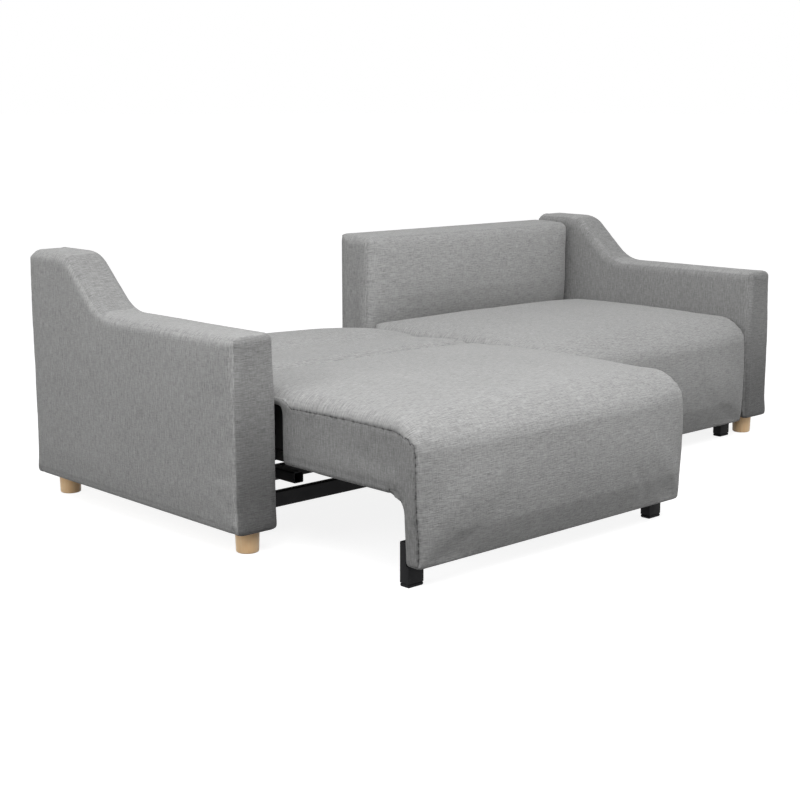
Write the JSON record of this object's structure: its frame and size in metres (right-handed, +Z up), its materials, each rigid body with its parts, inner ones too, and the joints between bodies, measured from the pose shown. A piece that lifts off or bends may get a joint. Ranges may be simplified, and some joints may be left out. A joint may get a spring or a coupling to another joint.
{
  "type": "sleeper sofa",
  "caption": "Grey fabric sleeper sofa whose seats slide forward on rollers while their backs drop level behind them as a bed, between arms that step up at the rear, on wooden feet.",
  "frame": {"origin": "on the floor, in the middle of the sofa's width and of its depth with the left half drawn out", "axes": "+X along the sofa's width to the right as seen by someone standing before it, +Y to its rear, +Z up"},
  "size_m": [2.2, 1.4234, 0.684],
  "materials": {
    "grey_fabric": "matte",
    "beech": "satin",
    "frame_timber": "matte",
    "stained_timber": "matte",
    "black_steel": "satin",
    "zinc_steel": "satin",
    "black_nylon": "matte",
    "white_nylon": "satin"
  },
  "bodies": {
    "base": {"left_arm_cover": "grey_fabric", "left_arm_base_board": "frame_timber", "left_front_foot": "beech", "left_rear_foot": "beech", "left_guide": "white_nylon", "left_outer_slide_rail": "black_steel", "left_inner_slide_rail": "black_steel", "right_arm_cover": "grey_fabric", "right_arm_base_board": "frame_timber", "right_front_foot": "beech", "right_rear_foot": "beech", "right_guide": "white_nylon", "right_outer_slide_rail": "black_steel", "right_inner_slide_rail": "black_steel", "front_cross_rail": "black_steel", "middle_cross_rail": "black_steel", "rear_cross_rail": "black_steel", "centre_beam": "black_steel", "centre_guide": "black_steel", "centre_foot": "black_nylon"},
    "left_seat": {"left_seat_cushion": "grey_fabric", "left_seat_frame": "stained_timber", "left_outer_leg": "black_nylon", "left_outer_leg_glide": "black_nylon", "left_outer_pivot_arm": "black_steel", "left_outer_roller_bracket": "zinc_steel", "left_inner_leg": "black_nylon", "left_inner_leg_glide": "black_nylon", "left_inner_pivot_arm": "black_steel", "left_inner_roller_bracket": "zinc_steel"},
    "left_back": {"left_back_cushion": "grey_fabric", "left_back_frame": "frame_timber", "left_outer_side_plate": "zinc_steel", "left_outer_pivot_pin": "zinc_steel", "left_outer_guide_pin": "black_nylon", "left_inner_side_plate": "zinc_steel", "left_inner_pivot_pin": "zinc_steel", "left_inner_guide_pin": "black_nylon"},
    "left_outer_roller": {"left_outer_roller": "white_nylon"},
    "left_inner_roller": {"left_inner_roller": "white_nylon"},
    "right_seat": {"right_seat_cushion": "grey_fabric", "right_seat_frame": "stained_timber", "right_outer_leg": "black_nylon", "right_outer_leg_glide": "black_nylon", "right_outer_pivot_arm": "black_steel", "right_outer_roller_bracket": "zinc_steel", "right_inner_leg": "black_nylon", "right_inner_leg_glide": "black_nylon", "right_inner_pivot_arm": "black_steel", "right_inner_roller_bracket": "zinc_steel"},
    "right_back": {"right_back_cushion": "grey_fabric", "right_back_frame": "frame_timber", "right_outer_side_plate": "zinc_steel", "right_outer_pivot_pin": "zinc_steel", "right_outer_guide_pin": "black_nylon", "right_inner_side_plate": "zinc_steel", "right_inner_pivot_pin": "zinc_steel", "right_inner_guide_pin": "black_nylon"},
    "right_outer_roller": {"right_outer_roller": "white_nylon"},
    "right_inner_roller": {"right_inner_roller": "white_nylon"}
  },
  "joints": [
    {"name": "left_seat_slide", "type": "slide", "parent": "base", "child": "left_seat", "axis": [0, -1, 0], "range_m": [-0.48, 0]},
    {"name": "left_back_fold", "type": "hinge", "parent": "left_seat", "child": "left_back", "pos_m": [-0.488, 0.16875, 0.2905], "axis": [1, 0, 0], "range_deg": [0, 90]},
    {"name": "left_outer_roller_turn", "type": "hinge", "parent": "left_seat", "child": "left_outer_roller", "pos_m": [-0.87, -0.01475, 0.1803], "axis": [1, 0, 0], "continuous": true},
    {"name": "left_inner_roller_turn", "type": "hinge", "parent": "left_seat", "child": "left_inner_roller", "pos_m": [-0.106, -0.01475, 0.1803], "axis": [1, 0, 0], "continuous": true},
    {"name": "right_seat_slide", "type": "slide", "parent": "base", "child": "right_seat", "axis": [0, -1, 0], "range_m": [0, 0.48]},
    {"name": "right_back_fold", "type": "hinge", "parent": "right_seat", "child": "right_back", "pos_m": [0.488, 0.64875, 0.2905], "axis": [1, 0, 0], "range_deg": [-90, 0]},
    {"name": "right_outer_roller_turn", "type": "hinge", "parent": "right_seat", "child": "right_outer_roller", "pos_m": [0.87, 0.46525, 0.1803], "axis": [1, 0, 0], "continuous": true},
    {"name": "right_inner_roller_turn", "type": "hinge", "parent": "right_seat", "child": "right_inner_roller", "pos_m": [0.106, 0.46525, 0.1803], "axis": [1, 0, 0], "continuous": true}
  ],
  "couplings": [
    {"joint": "left_back_fold", "follows": "left_seat_slide", "rad_per_m": -3.2724},
    {"joint": "left_outer_roller_turn", "follows": "left_seat_slide", "rad_per_m": 100},
    {"joint": "left_inner_roller_turn", "follows": "left_seat_slide", "rad_per_m": 100},
    {"joint": "right_back_fold", "follows": "right_seat_slide", "rad_per_m": -3.2724},
    {"joint": "right_outer_roller_turn", "follows": "right_seat_slide", "rad_per_m": 100},
    {"joint": "right_inner_roller_turn", "follows": "right_seat_slide", "rad_per_m": 100}
  ]
}
